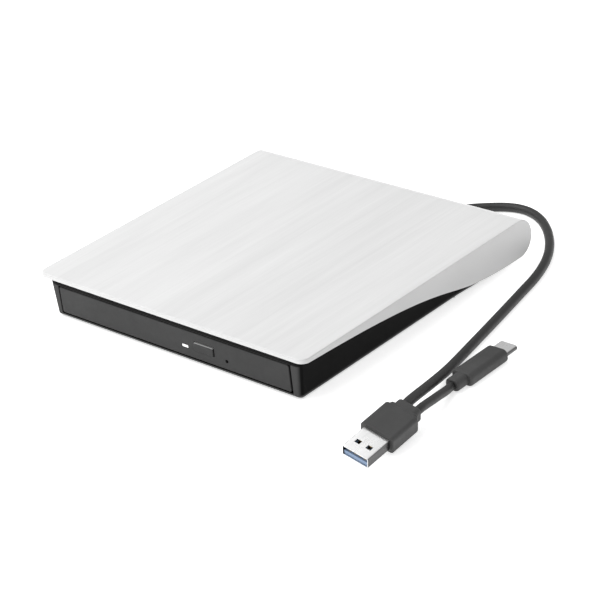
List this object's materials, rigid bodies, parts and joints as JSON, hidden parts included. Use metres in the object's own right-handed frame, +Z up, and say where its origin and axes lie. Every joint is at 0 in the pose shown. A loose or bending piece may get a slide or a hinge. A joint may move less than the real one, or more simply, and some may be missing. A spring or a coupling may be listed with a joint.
{
  "type": "external optical drive",
  "caption": "Slim external disc drive: a folded cover with a round tail over a dark shell, a sliding disc tray, an eject button and a short lead with two plugs.",
  "frame": {"origin": "on the surface the feet stand on, under the middle of the case's box, the lead not counted", "axes": "+X to the right seen from the tray's front, +Y to the back, +Z up; the tray comes out along -Y"},
  "size_m": [0.198, 0.1981, 0.02],
  "materials": {
    "cover_white": "moulded, fine brushed grain on top, smooth on the sides",
    "shell_black": "fine satin",
    "rubber_black": "matte",
    "screw_steel": "zinc plated",
    "sheet_steel": "bright galvanised sheet",
    "rail_steel": "bright rolled",
    "guide_black": "satin",
    "tray_black": "fine texture",
    "bezel_black": "satin",
    "light_clear": "clear",
    "board_green": "solder resist",
    "part_black": "moulded resin",
    "flex_tan": "film",
    "motor_steel": "turned",
    "coil_copper": "wound wire",
    "sled_alloy": "die cast",
    "lens_glass": "coated",
    "cord_black": "soft sheath",
    "plug_black": "satin moulding",
    "plug_steel": "bright nickel",
    "tongue_blue": "moulded",
    "contact_gold": "plated"
  },
  "bodies": {
    "root": {"top_cover": "cover_white", "lower_shell": "shell_black", "rubber_feet": "rubber_black", "case_screws": "screw_steel", "drive_screws": "screw_steel", "drive_chassis": "sheet_steel", "drive_lid": "sheet_steel", "lid_screws": "screw_steel", "guide_left": "guide_black", "guide_right": "guide_black", "latch_pin": "screw_steel", "back_board": "board_green", "data_plug": "part_black", "flex_lower": "flex_tan", "bridge_board": "board_green", "bridge_socket": "part_black", "bridge_chips": "part_black", "bridge_screws": "screw_steel", "cord_boot": "cord_black", "cord": "cord_black", "usb_a_overmould": "plug_black", "usb_a_shell": "plug_steel", "usb_a_tongue": "tongue_blue", "usb_a_contacts": "contact_gold", "second_lead": "cord_black", "usb_c_overmould": "plug_black", "usb_c_shell": "plug_steel", "usb_c_insert": "part_black"},
    "tray_unit": {"tray": "tray_black", "tray_rim": "tray_black", "tray_frame": "tray_black", "tray_shield": "sheet_steel", "tray_bezel": "bezel_black", "light_pipe": "light_clear", "status_light": "light_clear", "front_board": "board_green", "eject_switch": "part_black", "latch_solenoid": "coil_copper", "main_board": "board_green", "board_chips": "part_black", "flex_upper": "flex_tan", "mech_frame": "sheet_steel", "mech_cover": "sheet_steel", "guide_rods": "motor_steel", "spindle_motor": "coil_copper", "sled_motor": "motor_steel"},
    "left_rail": {"slide_rail_left": "rail_steel"},
    "right_rail": {"slide_rail_right": "rail_steel"},
    "button": {"eject_button": "bezel_black"},
    "latch": {"latch_lever": "rail_steel"},
    "spindle": {"spindle_rotor": "motor_steel", "turntable_ring": "rubber_black", "hub_balls": "motor_steel"},
    "screw": {"lead_screw": "motor_steel"},
    "sled": {"pickup_sled": "sled_alloy"},
    "lens": {"lens_holder": "part_black", "objective_lens": "lens_glass"}
  },
  "joints": [
    {"name": "tray_slide", "type": "slide", "parent": "root", "child": "tray_unit", "axis": [0, -1, 0], "range_m": [0, 0.124]},
    {"name": "left_rail_slide", "type": "slide", "parent": "root", "child": "left_rail", "axis": [0, -1, 0], "range_m": [0, 0.062]},
    {"name": "right_rail_slide", "type": "slide", "parent": "root", "child": "right_rail", "axis": [0, -1, 0], "range_m": [0, 0.062]},
    {"name": "eject_press", "type": "slide", "parent": "tray_unit", "child": "button", "axis": [0, 1, 0], "range_m": [0, 0.0006], "stiffness_N_per_m": 600, "springref_m": -0.0012},
    {"name": "latch_turn", "type": "hinge", "parent": "tray_unit", "child": "latch", "pos_m": [0.041, -0.044, 0.0059], "axis": [0, 0, 1], "range_deg": [0, 14]},
    {"name": "spindle_spin", "type": "hinge", "parent": "tray_unit", "child": "spindle", "pos_m": [0, -0.0046, 0.009], "axis": [0, 0, 1], "continuous": true},
    {"name": "sled_slide", "type": "slide", "parent": "tray_unit", "child": "sled", "axis": [-0.7071, -0.7071, 0], "range_m": [0, 0.0345]},
    {"name": "screw_turn", "type": "hinge", "parent": "tray_unit", "child": "screw", "pos_m": [-0.00891, -0.03812, 0.0066], "axis": [-0.7071, -0.7071, 0], "range_deg": [0, 4140]},
    {"name": "lens_focus", "type": "slide", "parent": "sled", "child": "lens", "axis": [0, 0, 1], "range_m": [-0.0004, 0.0004], "stiffness_N_per_m": 40}
  ],
  "couplings": [
    {"joint": "left_rail_slide", "follows": "tray_slide", "ratio": 0.5},
    {"joint": "right_rail_slide", "follows": "tray_slide", "ratio": 0.5},
    {"joint": "screw_turn", "follows": "sled_slide", "rad_per_m": 2094.4}
  ]
}
